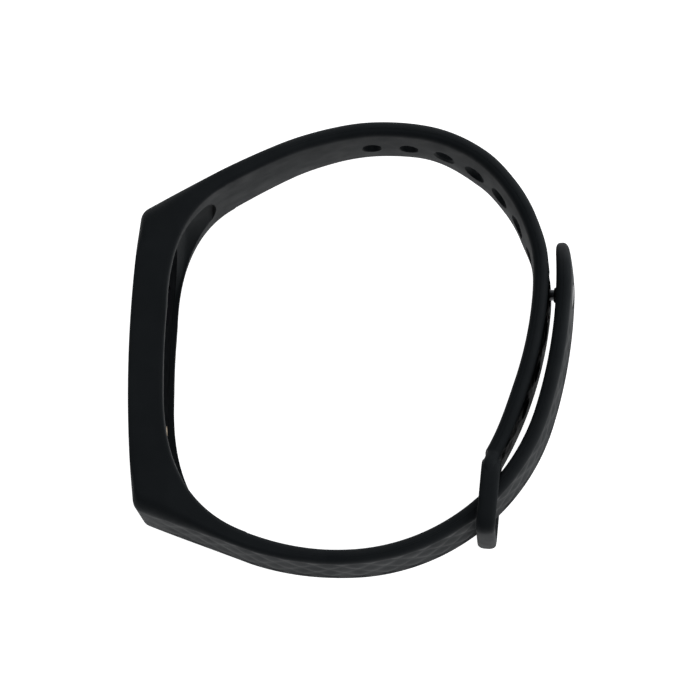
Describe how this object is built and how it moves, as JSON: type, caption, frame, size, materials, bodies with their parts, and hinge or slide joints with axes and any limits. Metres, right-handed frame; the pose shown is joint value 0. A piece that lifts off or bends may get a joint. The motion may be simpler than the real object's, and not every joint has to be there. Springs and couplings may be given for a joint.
{
  "type": "fitness tracker band",
  "caption": "Buckled silicone wristband with a slim oblong tracker capsule in a curved case, a row of oval adjustment holes, a stud and a keeper loop.",
  "frame": {"origin": "middle of the buckled loop's box, on the surface that the band lies on", "axes": "+Z across the band's width (up, the band lies on its side), +Y along the tracker case, -X out of the case's front face"},
  "size_m": [0.0666, 0.0682, 0.018],
  "materials": {
    "silicone": "matte moulded silicone",
    "stud_metal": "dark coated stainless steel",
    "window_glass": "polished black glass",
    "shell_plastic": "fine matte",
    "seal_rubber": "matte",
    "adhesive": "matte bonding film",
    "display_glass": "polished",
    "flex_film": "satin film",
    "copper": "bare copper",
    "board_green": "solder mask",
    "chip_black": "moulded resin",
    "battery_foil": "laminated foil",
    "foam": "closed-cell foam",
    "steel": "pressed steel",
    "tungsten": "sintered",
    "led_resin": "clear resin",
    "photodiode_silicon": "polished silicon",
    "sensor_glass": "polished dark lens",
    "gold": "gold plate"
  },
  "bodies": {
    "root": {"tracker_frame": "silicone", "hole_strap": "silicone", "keeper_loop": "silicone", "stud_strap": "silicone"},
    "tail": {"stud_strap_tail": "silicone", "stud_button": "stud_metal", "stud_cap": "stud_metal"},
    "tracker": {"display_window": "window_glass", "window_gasket": "adhesive", "front_shell": "shell_plastic", "shell_seal": "seal_rubber", "back_shell": "shell_plastic", "oled_panel": "display_glass", "display_flex": "flex_film", "touch_key_pad": "copper", "battery_cell": "battery_foil", "battery_lead": "flex_film", "battery_foam_pad": "foam", "antenna_strip": "copper", "main_board": "board_green", "bluetooth_chip": "chip_black", "flash_memory_chip": "chip_black", "motion_sensor_chip": "chip_black", "charge_controller_chip": "chip_black", "hr_sensor_board": "board_green", "hr_led_1": "led_resin", "hr_led_2": "led_resin", "hr_photodiode": "photodiode_silicon", "hr_sensor_window": "sensor_glass", "charge_contact_1": "gold", "charge_contact_2": "gold", "vibration_motor_cover": "steel", "vibration_motor_can": "steel", "motor_pin": "steel"},
    "motor_rotor": {"motor_weight": "tungsten"}
  },
  "joints": [
    {"name": "tail_unclasp", "type": "hinge", "parent": "root", "child": "tail", "pos_m": [0.03123, -0.00711, 0.009], "axis": [0, 0, -1], "range_deg": [0, 50], "stiffness_Nm_per_rad": 0.005},
    {"name": "tracker_release", "type": "slide", "parent": "root", "child": "tracker", "axis": [1, 0, 0], "range_m": [0, 0.012]},
    {"name": "motor_spin", "type": "hinge", "parent": "tracker", "child": "motor_rotor", "pos_m": [-0.02999, -0.01807, 0.009], "axis": [0.9968, 0.0804, 0], "continuous": true}
  ]
}
